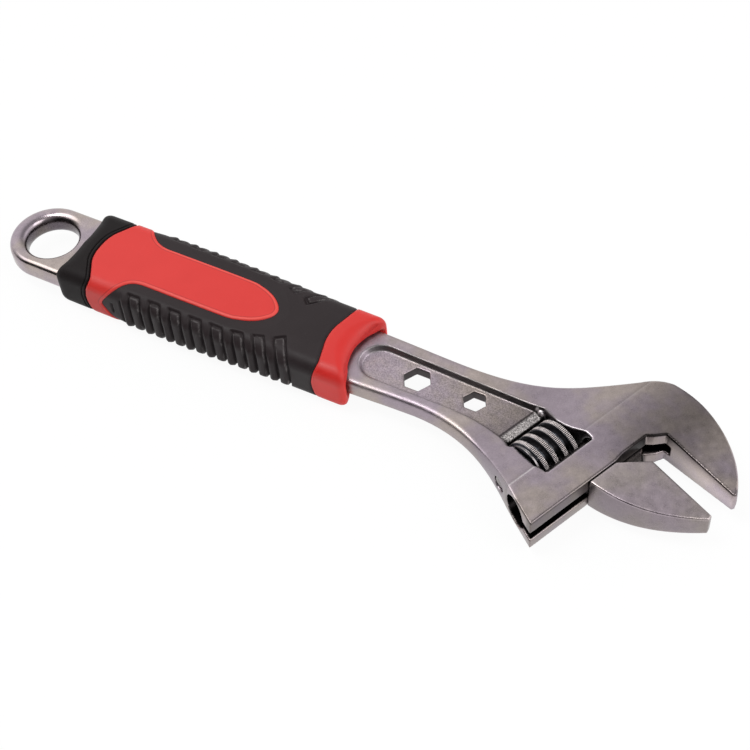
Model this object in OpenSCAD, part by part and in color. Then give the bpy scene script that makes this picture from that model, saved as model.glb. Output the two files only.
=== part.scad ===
// Adjustable wrench, 250 mm class, with a worm-driven lower jaw and a two-colour grip.
// Millimetres. The origin is the centre of the hanging hole, +X runs along the handle to the
// head, and +Z is the top face of the wrench lying flat. The head has a frame of its own,
// turned clockwise by head_angle: out is the way the jaws point, and shut is the way that
// the movable jaw travels to close.

/* [Handle] */
// Distance from the hanging hole to the centre of the head frame
head_x = 178; // [176:0.5:180]
// Half width of the bare shank, at its narrowest
shank_half = 10.2; // [9.8:0.1:10.4]
// Half thickness of the shank's rims
rim_half = 3.3; // [3.2:0.05:3.5]
// Half thickness of the web between the two recesses
web_half = 1.7; // [1.5:0.1:2]

/* [Hanging ring] */
// Outer radius of the ring
ring_r = 13.7; // [13.4:0.1:14]
// Radius of the hanging hole
hang_r = 9; // [8.5:0.1:9.5]
// Half thickness of the ring
ring_half = 3.8; // [3.6:0.1:4]
// Rounding of the hole's two mouths
mouth_round = 1.5; // [1:0.1:2]

/* [Hex keys in the shank] */
// Distance across the flats of the large hex hole
hex_large = 7.8; // [7.5:0.1:8]
// Distance across the flats of the small hex hole
hex_small = 6.5; // [6.3:0.1:6.6]

/* [Head] */
// Angle between the handle and the way the jaws point
head_angle = 22.5; // [22:0.25:23]
// Half thickness of the head
head_half = 6.05; // [6:0.05:6.2]
// Half thickness of the jaw tips
tip_half = 3.5; // [3.3:0.1:3.7]
// Where the slide face lies, out from the head frame's origin
slide_out = 24.3; // [24.2:0.05:24.4]
// Where the fixed jaw's gripping face lies
fixed_face = 22.3; // [22.2:0.05:22.4]

/* [Movable jaw] */
// Opening between the two jaws as drawn
gap = 9.4; // [9.2:0.1:9.6]
// Radius of the round rack bar
rack_r = 4.8; // [4.7:0.05:4.85]
// Half thickness of the neck between the rack bar and the jaw
neck_half = 1.35; // [1.25:0.05:1.45]

/* [Adjusting worm] */
// Pitch of the worm's right-handed thread, and of the rack's teeth
pitch = 3.7; // [3.68:0.01:3.72]
// Outer radius of the worm
worm_r = 7.2; // [7.1:0.05:7.25]
// Length of the worm
worm_len = 15.6; // [15.4:0.1:15.7]
// Radius of the worm's pin
pin_r = 2; // [1.9:0.05:2.05]

/* [Grip] */
// Half width of the grip's rear part
grip_half = 15.3; // [15:0.1:15.5]
// Half width of the grip's front part
grip_front_half = 14.5; // [14.3:0.1:14.8]
// Half thickness of the grip
grip_thick = 8.3; // [8:0.05:8.5]
// Rounding of the grip's long edges
grip_round = 4.4; // [4:0.1:5]
// Height of the ribs on the grip's sides
rib_rise = 0.9; // [0.5:0.1:1]

/* [Hidden] */
$fn = 64;

bore_r = 5;              // round channel that guides the rack bar
bore_out = 15.5;         // its axis, out from the head frame's origin
bore_end = 27;           // its blind end under the fixed jaw
slot_half = 1.65;        // half width of the slot that the neck passes through
worm_out = 5.6;          // axis of the worm and its pin
worm_low = -12.1;        // lower end of the worm
thread_root = 4.7;       // radius of the worm between its threads
crest_half = 0.65;       // half width of a thread at its crest
root_half = 1.35;        // half width of a thread at its root
thread_top = 0.72;       // a crest's centre along the worm, on the worm's top side
pin_bore = pin_r + 0.1;  // bore of the worm
spring_seat_r = 3.5;     // counterbore in the worm that holds the spring
spring_depth = 4;        // depth of that counterbore
spring_r = 2.8;          // mean radius of the spring
wire_r = 0.25;           // radius of the spring's wire
spring_turns = 5;
slope_out = -6;          // where the head starts to rise out of the shank
crease_out = 10.8;       // crease where the head's flat top starts
taper_out = 26;          // where both jaws start to taper
taper_end = 54;          // where the taper ends, at the tips
window_left = -3;        // wall of the worm's window on the handle's side
window_right = 14.5;     // wall of the window on the jaws' side
window_top = 3.8;        // end wall of the window that the spring bears on
jaw_face = fixed_face - gap;
jaw_back = slide_out + 0.3;
rack_low = -15.8;        // lower end of the rack bar
rack_high = 16.6;        // upper end of the rack bar
tooth_tip_half = 0.36;
tooth_base_half = 0.95;
tooth_base = 13.1;       // bottom of the gaps between the rack's teeth
grip_start = 12;         // rear end of the grip, at its sides
grip_end = 119.3;        // front end of the grip, at its sides
core_front = 115.4;      // front end of the core, at its middle
taper_from = 60;         // where the grip starts to narrow
taper_to = 96;           // where it has its front width
shank_wide = 11;         // half width of the shank in the grip's mouth
mouth_gap = 0.7;         // open gap round the shank there
tang_end = 16.5;         // the wide end block of the tang stops inside the grip
skin = 1.6;              // thickness of the black sleeve over the red core
rib_first = 40.6;        // middle of the first rib
rib_pitch = 3.84;
rib_width = 2.6;
rib_count = 16;
far = 60;

// ---- curves and frames -------------------------------------------------------------------

// Points of a cubic curve from a to d, drawn towards b and c
function curve(a, b, c, d, steps = 12) =
    [for (i = [0:steps]) let (t = i / steps, u = 1 - t)
        u * u * u * a + 3 * u * u * t * b + 3 * u * t * t * c + t * t * t * d];

// Points of an arc round a centre
function arc(centre, r, from, to, steps = 12) =
    [for (i = [0:steps]) let (t = from + (to - from) * i / steps) centre + r * [cos(t), sin(t)]];

// A point given as [out, shut] in the head frame, in the handle's frame
function at_head(p) = [head_x + p[0] * cos(head_angle) + p[1] * sin(head_angle),
                       p[1] * cos(head_angle) - p[0] * sin(head_angle)];

// Draws its children in the head frame: X is out, Y is shut
module in_head() translate([head_x, 0, 0]) rotate([0, 0, -head_angle]) children();

// A round bar along the head frame's shut direction, from low to high
module along_shut(out, low, high, r)
    translate([out, low, 0]) rotate([-90, 0, 0]) cylinder(h = high - low, r = r);

// A flat profile drawn across the handle, pushed along +X from x0 to x1
module along_handle(x0, x1)
    translate([x0, 0, 0]) rotate([90, 0, 90]) linear_extrude(x1 - x0) children();

// Rectangle of half width w and half height h with corners of radius r
module round_box(w, h, r) {
    square([2 * (w - r), 2 * h], center = true);
    square([2 * w, 2 * (h - r)], center = true);
    for (x = [-1, 1], y = [-1, 1]) translate([x * (w - r), y * (h - r)]) circle(r);
}

// Side view of the whole head: shank, slope, flat head and tapering jaws
module head_profile() {
    top = [[-200, rim_half], [slope_out, rim_half], [crease_out, head_half],
           [taper_out, head_half], [taper_end, tip_half], [taper_end + 10, tip_half]];
    in_head() rotate([90, 0, 0]) linear_extrude(4 * far, center = true)
        polygon(concat(top, [for (i = [len(top) - 1:-1:0]) [top[i][0], -top[i][1]]]));
}

// ---- wrench body -------------------------------------------------------------------------

// Plan of the shank and head, with the fixed jaw
function body_plan() = concat(
    [[10, -shank_half], [106, -shank_half], [112, -shank_wide]],
    curve([120, -shank_wide], [127, -10.6], [131, -shank_half], [137, -shank_half], 8),
    curve([137, -shank_half], [156, -9.3], [168.5, -17.6], at_head([9.1, -23.2])),
    [at_head([15, -24.9]), at_head([slide_out, -27.4]),
     at_head([slide_out, 5]), at_head([slide_out - 0.6, 8]), at_head([slide_out - 0.6, 17.6]),
     at_head([slide_out + 0.9, 19.2]), at_head([27.2, fixed_face]), at_head([53, fixed_face]),
     at_head([53.4, 23])],
    [for (p = arc([29.8, 7.05], 28.5, 37, 56, 6)) at_head(p)],
    [for (p = arc([23.1, -2.9], 40.5, 58, 100, 16)) at_head(p)],
    [for (p = curve([16.1, 37], [12.8, 35.9], [10.8, 33.4], [9.1, 31.3], 8)) at_head(p)],
    curve([198, 25.1], [174, 11.2], [164, 9.4], [140, shank_half]),
    curve([137, shank_half], [131, shank_half], [127, 10.6], [120, shank_wide], 8),
    [[112, shank_wide], [106, shank_half], [10, shank_half]]);

// The ring and the wide block behind it that the grip closes on
module ring_block() {
    rotate_extrude() intersection() {
        round_box(ring_r, ring_half, 1.2);
        translate([0, -far]) square([far, 2 * far]);
    }
    along_handle(0, tang_end) round_box(ring_r, ring_half, 1.2);
}

// The hanging hole with its two rounded mouths
module hang_hole() {
    cylinder(h = far, r = hang_r, center = true);
    for (side = [-1, 1]) scale([1, 1, side])
        translate([0, 0, ring_half - mouth_round]) rotate_extrude() difference() {
            square([hang_r + mouth_round, mouth_round + 1]);
            translate([hang_r + mouth_round, 0]) circle(mouth_round);
        }
}

// One recess of the shank: drafted walls down to the web, and a ramp into the worm's window
module recess() {
    draft = 1.9;
    rise = 2.8;
    hull() {
        translate([124.3, 0, web_half]) linear_extrude(0.01) circle(5.7, $fn = 32);
        translate([124.3, 0, web_half + rise]) linear_extrude(0.01) circle(5.7 + draft, $fn = 32);
        translate([0, 0, web_half]) linear_extrude(0.01)
            polygon([[124.3, 5.7], [157, 5], [157, -5.7], [124.3, -5.7]]);
        translate([0, 0, web_half + rise]) linear_extrude(0.01)
            polygon([[124.3, 7.6], [157, 6.9], [157, -7.6], [124.3, -7.6]]);
    }
    hull() {
        translate([0, 0, web_half]) linear_extrude(0.01)
            polygon([[156, 5], [176.5, 4.3], [170.7, -9.4], [156, -5.8]]);
        translate([0, 0, web_half + rise]) linear_extrude(0.01)
            polygon([[156, 6.9], [178, 6.2], [171.4, -11.3], [156, -7.7]]);
    }
    in_head() translate([0, 4, 0]) rotate([90, 0, 0]) linear_extrude(15)
        polygon([[-5.7, web_half + 0.1], [-5.7, web_half], [window_left + 0.1, 0.5],
                 [window_left + 0.1, web_half + 0.1]]);
}

// Hex hole whose corners lie along the handle
module hex_hole(x, flats)
    translate([x, 0, 0]) cylinder(h = far, r = flats / sqrt(3), center = true, $fn = 6);

// The window that the worm sits in
module window()
    in_head() linear_extrude(far, center = true)
        polygon([[window_left, -12.2], [1.5, -12.4], [10.4, -13.3], [12.2, -12.7], [14, -12.4],
                 [window_right, -11.8], [window_right, 5.2], [12.4, 6.1], [9.4, 5.4],
                 [6.6, window_top], [window_left, window_top]]);

// Guides for the movable jaw: a round channel and the slot that opens it to the slide face
module jaw_guides()
    in_head() {
        along_shut(bore_out, -far, bore_end, bore_r);
        linear_extrude(2 * slot_half, center = true)
            polygon([[bore_out, -far], [far, -far], [far, fixed_face - 8],
                     [29.4, fixed_face - 8], [29.4, fixed_face], [24, bore_end],
                     [bore_out, bore_end]]);
    }

// Hole of the worm's pin, with a counterbore for its head
module pin_hole()
    in_head() {
        along_shut(worm_out, -far, 11.6, pin_r + 0.03);
        along_shut(worm_out, -far, -19.8, pin_r + 0.5);
    }

module wrench_body()
    color([0.62, 0.58, 0.58]) {
        difference() {
            union() {
                ring_block();
                intersection() {
                    linear_extrude(far, center = true) polygon(body_plan());
                    head_profile();
                }
            }
            hang_hole();
            recess();
            mirror([0, 0, 1]) recess();
            hex_hole(136.6, hex_large);
            hex_hole(155.8, hex_small);
            window();
            jaw_guides();
            pin_hole();
        }
    }

// ---- movable jaw -------------------------------------------------------------------------

// Plan of the jaw in the head frame
function jaw_plan() = concat(
    curve([jaw_back, -5], [37, -3.6], [45.5, 1.8], [54.1, jaw_face - 1.5]),
    [[53.6, jaw_face], [31, jaw_face], [28.8, 10.2], [26.1, 6.5], [jaw_back, 4.6]]);

// Gaps between the rack's teeth, leaning with the worm's thread
module rack_gaps() {
    lean = atan(pitch / (2 * PI * (worm_r - 1.2)));
    first = thread_top + pitch / 4;
    for (i = [-5:4])
        translate([0, first + i * pitch, 0]) rotate([lean, 0, 0])
            linear_extrude(4 * rack_r, center = true)
                polygon([[0, pitch / 2 - tooth_tip_half + 0.6],
                         [bore_out - rack_r, pitch / 2 - tooth_tip_half],
                         [tooth_base, pitch / 2 - tooth_base_half],
                         [tooth_base, tooth_base_half - pitch / 2],
                         [bore_out - rack_r, tooth_tip_half - pitch / 2],
                         [0, tooth_tip_half - pitch / 2 - 0.6]]);
}

module movable_jaw()
    color([0.56, 0.53, 0.54]) {
        intersection() {
            in_head() linear_extrude(far, center = true) polygon(jaw_plan());
            head_profile();
        }
        in_head() {
            linear_extrude(2 * neck_half, center = true)
                polygon([[bore_out, rack_low], [18, rack_low], [24, -6], [30, -2], [30, 10.6],
                         [23.6, rack_high], [bore_out, rack_high]]);
            difference() {
                along_shut(bore_out, rack_low, rack_high, rack_r);
                rack_gaps();
            }
        }
    }

// ---- worm, its pin and spring ------------------------------------------------------------

// One section of the thread, turned to angle a from the worm's jaw side towards its top
function thread_section(a) =
    [for (p = [[thread_root - 0.3, -root_half], [worm_r, -crest_half],
               [worm_r, crest_half], [thread_root - 0.3, root_half]])
        [p[0] * cos(a), thread_top + p[1] - pitch * (a - 90) / 360, p[0] * sin(a)]];

// The thread as one swept ridge, from first to last turn
module thread(first, last) {
    step = 10;
    n = (last - first) * 360 / step;
    points = [for (i = [0:n]) each thread_section(first * 360 + i * step)];
    sides = [for (i = [0:n - 1], j = [0:3]) let (k = (j + 1) % 4)
        each [[4 * i + j, 4 * i + 4 + j, 4 * i + k], [4 * i + k, 4 * i + 4 + j, 4 * i + 4 + k]]];
    polyhedron(points, concat([[0, 1, 2, 3]], sides, [[4 * n + 3, 4 * n + 2, 4 * n + 1, 4 * n]]),
               convexity = 8);
}

module adjusting_worm()
    color([0.42, 0.42, 0.43]) in_head() {
        worm_high = worm_low + worm_len;
        difference() {
            union() {
                along_shut(worm_out, worm_low, worm_high, thread_root);
                intersection() {
                    translate([worm_out, 0, 0]) thread(-2, 5);
                    along_shut(worm_out, worm_low, worm_high, worm_r + 1);
                }
            }
            along_shut(worm_out, worm_low - 1, worm_high + 1, pin_bore);
            along_shut(worm_out, worm_high - spring_depth, worm_high + 1, spring_seat_r);
        }
    }

module worm_pin()
    color([0.5, 0.5, 0.52]) in_head() {
        along_shut(worm_out, -21.6, 11.5, pin_r);
        along_shut(worm_out, -21.6, -19.85, pin_r + 0.45);
    }

// Compression spring that takes up the worm's end play
module worm_spring()
    color([0.55, 0.55, 0.55]) in_head() {
        low = worm_low + worm_len - spring_depth + 0.35;
        high = window_top - 0.35;
        sides = 8;
        per_turn = 18;
        n = spring_turns * per_turn;
        ring = function (i) let (a = 360 * i / per_turn, s = low + (high - low) * i / n)
            [for (j = [0:sides - 1]) let (b = 360 * j / sides, r = spring_r + wire_r * cos(b))
                [worm_out + r * cos(a), s + wire_r * sin(b), r * sin(a)]];
        points = [for (i = [0:n]) each ring(i)];
        skin_faces = [for (i = [0:n - 1], j = [0:sides - 1]) let (k = (j + 1) % sides)
            each [[sides * i + j, sides * (i + 1) + j, sides * i + k],
                  [sides * i + k, sides * (i + 1) + j, sides * (i + 1) + k]]];
        polyhedron(points, concat([[for (j = [0:sides - 1]) j]], skin_faces,
                                  [[for (j = [sides - 1:-1:0]) sides * n + j]]), convexity = 8);
    }

// ---- grip --------------------------------------------------------------------------------

// Half of a line across the grip, from its middle at x_mid to its side at x_side; on the way it
// reaches x_full, at 12 from the middle
function half_line(x_mid, x_full, x_side) = concat(
    curve([x_mid, 0], [x_mid, 5], [x_full, 8], [x_full, 12], 6), [[x_side, 15], [x_side, 17]]);
function mirrored(points) = [for (p = points) [p[0], -p[1]]];
function reversed(points) = [for (i = [len(points) - 1:-1:0]) points[i]];

// The whole line, from the near side to the far side
function cross_line(x_mid, x_full, x_side) = let (half = half_line(x_mid, x_full, x_side))
    concat(reversed(mirrored(half)), half);

module band_plan() polygon(concat(cross_line(14, 13.4, 12.4),
                                  reversed(cross_line(21, 25.3, 23.6))));

// One edge of the red tongue: from the side of the grip, at x, round the lobe and along to the
// tip
function tongue_edge(x) = concat(
    [[x, 17], [x + 0.6, 15.1], [x + 3, 14.7], [x + 5, 13]],
    curve([x + 5, 13], [x + 6.6, 11.6], [x + 7.8, 8.35], [42.5, 8.35], 6),
    curve([74, 8.35], [82, 8.1], [86.5, 4.6], [88.2, 0], 8));

// The red parts that reach the surface: the rear zone with its tongue, and the front collar
module red_plan() {
    polygon(concat(cross_line(21.6, 26, 24.4), tongue_edge(30.4),
                   reversed(mirrored(tongue_edge(28.4)))));
    polygon(concat(cross_line(106.8, 109.1, 107.6),
                   reversed(cross_line(core_front, core_front + 2.9, grip_end - 0.1))));
}

module sleeve_plan() polygon(concat([[26, -17], [26, 17]],
                                    reversed(cross_line(106.6, 108.9, 107.4))));

// The grip's bar from x0 to x1, which narrows towards the front; grow widens its sides only
module grip_bar(x0, x1, shrink = 0, grow = 0)
    hull() {
        along_handle(x0, taper_from)
            round_box(grip_half - shrink + grow, grip_thick - shrink, grip_round - shrink);
        along_handle(taper_to, x1)
            round_box(grip_front_half - shrink + grow, grip_thick - shrink, grip_round - shrink);
    }

// Side view of the grip: both ends come down towards the steel
module grip_ends() {
    top = [[grip_start, 4.8], [14.2, 6.4], [16, 7.6], [18.5, grip_thick], [112.4, grip_thick],
           [114.2, 7.9], [116, 7.4], [118, 6.5], [grip_end, 4.6]];
    rotate([90, 0, 0]) linear_extrude(far, center = true)
        polygon(concat(top, [for (p = reversed(top)) [p[0], -p[1]]]));
}

// The grip's outer block, the same for all three pieces
module grip_block() intersection() {
    grip_bar(grip_start, grip_end);
    grip_ends();
}

// The core's own shape under the black sleeves
module core_bar() grip_bar(grip_start + 1, core_front - 3, shrink = skin);

module through_plan() linear_extrude(far, center = true) children();

// The steel that the grip is moulded round, with the open gap at the grip's front mouth
module tang() {
    ring_block();
    linear_extrude(2 * rim_half, center = true)
        polygon([[10, -shank_half], [106, -shank_half], [112, -shank_wide], [130, -shank_wide],
                 [130, shank_wide], [112, shank_wide], [106, shank_half], [10, shank_half]]);
    along_handle(core_front - 3, 130)
        round_box(shank_wide + mouth_gap, rim_half + mouth_gap, 1);
}

module grip_core()
    color([0.84, 0.2, 0.18]) difference() {
        union() {
            intersection() {
                core_bar();
                through_plan() polygon(concat([[14.4, -17], [14.4, 17]],
                                              [[core_front, 17], [core_front, -17]]));
            }
            intersection() {
                grip_block();
                through_plan() red_plan();
            }
        }
        tang();
    }

// Ribs on the grip's two sides
module ribs()
    intersection() {
        grip_bar(grip_start, grip_end, grow = rib_rise);
        for (i = [0:rib_count - 1], side = [-1, 1])
            translate([rib_first + rib_pitch * i, side * 20, 0])
                cube([rib_width, 19, 11], center = true);
    }

module grip_sleeve()
    color([0.16, 0.15, 0.16]) difference() {
        union() {
            intersection() {
                grip_block();
                through_plan() sleeve_plan();
            }
            ribs();
        }
        core_bar();
        through_plan() red_plan();
    }

module grip_rear_band()
    color([0.16, 0.15, 0.16]) difference() {
        intersection() {
            grip_block();
            through_plan() band_plan();
        }
        core_bar();
        tang();
    }

wrench_body();
movable_jaw();
adjusting_worm();
worm_pin();
worm_spring();
grip_core();
grip_sleeve();
grip_rear_band();
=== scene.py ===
from math import cos, pi, radians, sin, sqrt

import bpy
import numpy as np
from mathutils import Matrix, Vector


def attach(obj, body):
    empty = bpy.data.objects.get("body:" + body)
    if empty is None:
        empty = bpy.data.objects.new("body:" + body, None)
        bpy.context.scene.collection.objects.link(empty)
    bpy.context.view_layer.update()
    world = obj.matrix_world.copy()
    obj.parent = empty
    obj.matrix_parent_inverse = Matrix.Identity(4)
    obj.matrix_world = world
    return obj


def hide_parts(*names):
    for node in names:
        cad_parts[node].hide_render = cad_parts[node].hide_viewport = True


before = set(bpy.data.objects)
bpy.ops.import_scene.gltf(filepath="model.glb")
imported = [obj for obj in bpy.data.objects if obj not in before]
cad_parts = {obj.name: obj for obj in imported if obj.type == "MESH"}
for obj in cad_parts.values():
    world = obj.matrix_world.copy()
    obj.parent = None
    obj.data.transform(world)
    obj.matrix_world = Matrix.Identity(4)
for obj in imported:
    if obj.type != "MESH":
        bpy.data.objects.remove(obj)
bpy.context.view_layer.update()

MM = 0.001

# ---- sizes in millimetres ----
# the solids' own, but for a shorter worm, a higher slot and a smaller hanging hole

HEAD_X, HEAD_ANGLE = 178.0, radians(22.5)   # head frame: out is where the jaws point
RIM_HALF, WEB_HALF = 3.3, 1.7
RING_R, RING_HALF, BAR_BACK = 13.7, 3.8, 17.0
HOLE_X, HOLE_Y, HOLE_R = 0.75, -0.15, 8.4
HEX_LARGE, HEX_SMALL = (136.6, 7.8), (155.8, 6.5)
HEAD_HALF, TIP_HALF = 6.05, 3.5
SLOPE_OUT, CREASE_OUT, TAPER_OUT, TIP_OUT = -6.0, 10.8, 26.0, 54.0
SLIDE_OUT, FIXED_FACE, GAP = 24.3, 22.3, 9.4
JAW_FACE = FIXED_FACE - GAP
RACK_R, RACK_MIDDLE, RACK_HALF, RACK_FLAT, NECK_HALF = 4.8, 0.4, 16.2, 13.1, 1.35
BORE_R, BORE_OUT, BORE_END, SLOT_HALF = 5.0, 15.5, 27.0, 1.9
WORM_OUT, WORM_LOW, WORM_LEN, WORM_R = 5.6, -12.1, 15.0, 7.2
PITCH, THREAD_ROOT, THREAD_TOP = 3.7, 4.7, 0.72
PIN_R, PIN_HEAD_R, PIN_LOW, PIN_SEAT, PIN_END = 2.0, 2.43, -21.6, -19.86, 11.45

# ---- curves ----


def curve(a, b, c, d, steps=16):
    """Cubic from a to d, drawn towards b and c: the four points weighted by u^3, 3u^2 t,
    3u t^2 and t^3, with u = 1 - t."""
    t = np.linspace(0, 1, steps + 1)[:, None]
    u = 1 - t
    a, b, c, d = (np.asarray(p, float) for p in (a, b, c, d))
    return u**3 * a + 3 * u * u * t * b + 3 * u * t * t * c + t**3 * d


def arc(centre, r, start, end, steps=16):
    """Centre plus r times (cos, sin) of the angle from start to end, in degrees."""
    t = np.radians(np.linspace(start, end, steps + 1))
    return np.stack([centre[0] + r * np.cos(t), centre[1] + r * np.sin(t)], 1)


def handle_point(out, shut):
    """A point of the head frame in the handle's frame: turned by the head's angle."""
    return (HEAD_X + out * cos(HEAD_ANGLE) + shut * sin(HEAD_ANGLE),
            shut * cos(HEAD_ANGLE) - out * sin(HEAD_ANGLE))


def in_head(points):
    """A list of head frame points in the handle's frame."""
    return np.array([handle_point(*p) for p in points])


def head_frame(x, y):
    """Out and shut of points given in the handle's frame."""
    c, s = cos(HEAD_ANGLE), sin(HEAD_ANGLE)
    return (x - HEAD_X) * c - y * s, (x - HEAD_X) * s + y * c


# ---- solids as signed distances ----


def larger(a, b, k):
    """Maximum that rounds an outer edge: max(a, b) + (k - |a - b|)^2 / 4k where they are
    closer than k."""
    h = np.maximum(k - np.abs(a - b), 0)
    return np.maximum(a, b) + h * h / (4 * k)


def smaller(a, b, k):
    """Minimum that fills an inner corner in the same way."""
    return -larger(-a, -b, k)


def fade(value, start, end):
    """0 at start, 1 at end, eased at both: t^2 (3 - 2t)."""
    t = np.clip((value - start) / (end - start), 0, 1)
    return t * t * (3 - 2 * t)


def plan_distance(outline, x, y):
    """Signed distance to a closed outline: the nearest of its segments, negative inside, by
    counting the segments that a line to the right crosses."""
    p = np.asarray(outline, float)
    x, y = np.broadcast_arrays(x, y)
    best = np.full(x.shape, 1e12)
    inside = np.zeros(x.shape, bool)
    for (ax, ay), (bx, by) in zip(p, np.roll(p, -1, 0)):
        ex, ey = bx - ax, by - ay
        length = ex * ex + ey * ey
        if length < 1e-12:
            continue
        t = np.clip(((x - ax) * ex + (y - ay) * ey) / length, 0, 1)
        best = np.minimum(best, (x - ax - t * ex) ** 2 + (y - ay - t * ey) ** 2)
        if ay != by:
            inside ^= ((ay > y) != (by > y)) & (x < ax + (y - ay) * ex / ey)
    return np.where(inside, -1, 1) * np.sqrt(best)


def hexagon(x, y, centre, flats):
    """Signed distance to a hexagon with corners along x: the largest of three slabs."""
    x, y = np.abs(x - centre), np.abs(y)
    return np.maximum(y, x * sqrt(0.75) + y * 0.5) - flats / 2


def beside(solid, points, step):
    """The solid's values a step ahead of the points and a step behind, along x, y and z."""
    return [[solid(*(points.T + way * e[:, None])) for way in (step, -step)] for e in np.eye(3)]


def block(low, high):
    """Index of the part of a grid between two corners."""
    return tuple(slice(a, b) for a, b in zip(low, high))


# how often a net is drawn onto its surface, and the step its gradient is measured over
DRAWS, DRAW_STEP = 4, 0.02


def net(solid, low, high, cell):
    """Surface of solid(x, y, z) = 0 on a grid of cells. Each cell that the surface crosses
    has one vertex, at the mean of its edges' crossings; each grid edge that it crosses has
    one face, over the four cells round it. The vertices are then drawn onto the surface along
    its gradient. Returns the points and the faces, turned outwards."""
    low, high, unit = np.array(low, float), np.array(high, float), np.eye(3, dtype=int)
    counts = np.ceil((high - low) / cell).astype(int) + 1
    x, y, z = (low[i] + cell * np.arange(counts[i]) for i in range(3))
    f = solid(x[:, None, None], y[None, :, None], z[None, None, :])
    f = np.broadcast_to(f, counts).astype(np.float32)
    f = np.where(f == 0, np.float32(1e-6), f)
    neg, shape = f < 0, counts - 1
    total, hits = np.zeros((*shape, 3), np.float32), np.zeros(shape, np.float32)
    for axis, along in enumerate(unit):
        a, b = f[block(0 * along, counts - along)], f[block(along, counts)]
        cross = (a < 0) != (b < 0)
        t = np.where(cross, a / np.where(cross, a - b, 1), 0)
        p, q = (i for i in range(3) if i != axis)
        for dp, dq in ((0, 0), (0, 1), (1, 0), (1, 1)):
            corner = dp * unit[p] + dq * unit[q]
            cut = block(corner, corner + shape)
            hits += cross[cut]
            total[..., axis] += t[cut]
            total[..., p] += cross[cut] * dp
            total[..., q] += cross[cut] * dq
    live = hits > 0
    number = np.full(shape, -1, np.int64)
    number[live] = np.arange(live.sum())
    points = low + cell * (np.argwhere(live) + total[live] / hits[live][:, None])
    faces = []
    for axis, along in enumerate(unit):
        b, c = unit[(axis + 1) % 3], unit[(axis + 2) % 3]
        here, there = neg[block(b + c, shape)], neg[block(b + c + along, shape + along)]
        at = np.argwhere(here != there) + b + c
        quad = np.stack([number[tuple((at - o).T)] for o in (b + c, c, 0 * c, b)], 1)
        outside = ~neg[tuple(at.T)]
        quad[outside] = quad[outside][:, ::-1]
        faces.append(quad)
    for _ in range(DRAWS):
        slope = np.stack([(a - b) / (2 * DRAW_STEP)
                          for a, b in beside(solid, points, DRAW_STEP)], 1)
        size = np.maximum((slope**2).sum(1), 0.05)
        move = -slope * (solid(*points.T) / size)[:, None]
        reach = np.linalg.norm(move, axis=1)[:, None]
        points = points + move * np.minimum(1, 0.4 * cell / np.maximum(reach, 1e-9))
    return points, np.concatenate(faces)


# ---- meshes ----


def piece(name, points, faces, masks, body, node):
    """A mesh object from points in millimetres, faces and masks, riding on a body."""
    mesh = bpy.data.meshes.new(name)
    mesh.from_pydata((points * MM).tolist(), [], faces.tolist(), shade_flat=False)
    for key, values in masks.items():
        layer = mesh.attributes.new(key, "FLOAT", "POINT")
        layer.data.foreach_set("value", np.asarray(values, np.float32).ravel())
    obj = bpy.data.objects.new(name, mesh)
    bpy.context.scene.collection.objects.link(obj)
    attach(obj, body)
    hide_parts(node)
    return obj


def outward(points, faces):
    """The faces, turned round if the volume that they hold comes out negative."""
    p = points[faces]
    volume = (np.cross(p[:, 0], p[:, 1]) * p[:, 2] + np.cross(p[:, 0], p[:, 2]) * p[:, 3]).sum()
    return faces if volume > 0 else faces[:, ::-1]


def grid_piece(name, points, masks, body, slot, node, closed=True):
    """A piece from a grid of points: quads that close round each row, and from the last row
    back to the first unless it is open."""
    i = np.arange(points[..., 0].size).reshape(points.shape[:2])
    j, k = np.roll(i, -1, 0), np.roll(i, -1, 1)
    quads = np.stack([i, j, np.roll(j, -1, 1), k], -1)
    faces = (quads if closed else quads[:-1]).reshape(-1, 4)
    flat = points.reshape(-1, 3)
    return piece(name, flat, outward(flat, faces), masks, body, node)


def net_piece(name, solid, low, high, cell, masks, body, node):
    """A piece from the net on a solid, with the masks that a function gives its points."""
    points, faces = net(solid, low, high, cell)
    return piece(name, points, faces, masks(points), body, node)


# ---- the forging ----

# plan of the shank and head: straight flanks, two cubic flares, the throat and the round back
# of the fixed jaw
BODY_OUTLINE = np.concatenate([
    curve([112, -11.0], [122, -11.0], [129, -10.3], [137, -10.15], 8),
    curve([137, -10.15], [155.7, -9.1], [168.2, -17.2], [177.3, -24.6]),
    in_head([[15, -24.95], [SLIDE_OUT, -27.5], [SLIDE_OUT, 5], [SLIDE_OUT - 0.6, 8],
             [SLIDE_OUT - 0.6, 17.6], [SLIDE_OUT + 0.9, 19.2], [27.2, FIXED_FACE],
             [53, FIXED_FACE], [53.4, 23]]),
    in_head(arc([29.8, 7.05], 28.5, 37, 56, 8)),
    in_head(arc([23.1, -2.9], 40.5, 58, 100, 22)),
    in_head(curve([16.1, 37], [12.8, 35.9], [10.8, 33.4], [9.1, 31.3], 8)),
    curve([198, 25.1], [174, 11.2], [164, 9.4], [140, 10.25]),
    curve([140, 10.25], [130, 10.6], [124, 10.9], [112, 11.0], 8)])
# plan of the shank's hollow
HOLLOW = np.concatenate([
    arc([124.3, 0], 5.7, 90, 270),
    curve([150, -5.75], [159, -5.8], [165, -7.4], [170.7, -9.4], 10),
    [[172.4, -10.6]], in_head([[0.5, 1.6]]), [[175.5, 3.95]]])
WINDOW = in_head([[-3, -12.2], [1.5, -12.4], [10.4, -13.3], [12.2, -12.7], [14, -12.4],
                  [14.5, -11.8], [14.5, 5.1], [13.9, 5.6], [12.6, 5.75], [11.4, 5.75],
                  [9.9, 5.15], [7.6, 4.1], [4.9, 3.4], [1.8, 3.1], [-0.5, 3.15], [-3, 3.4]])
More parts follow.
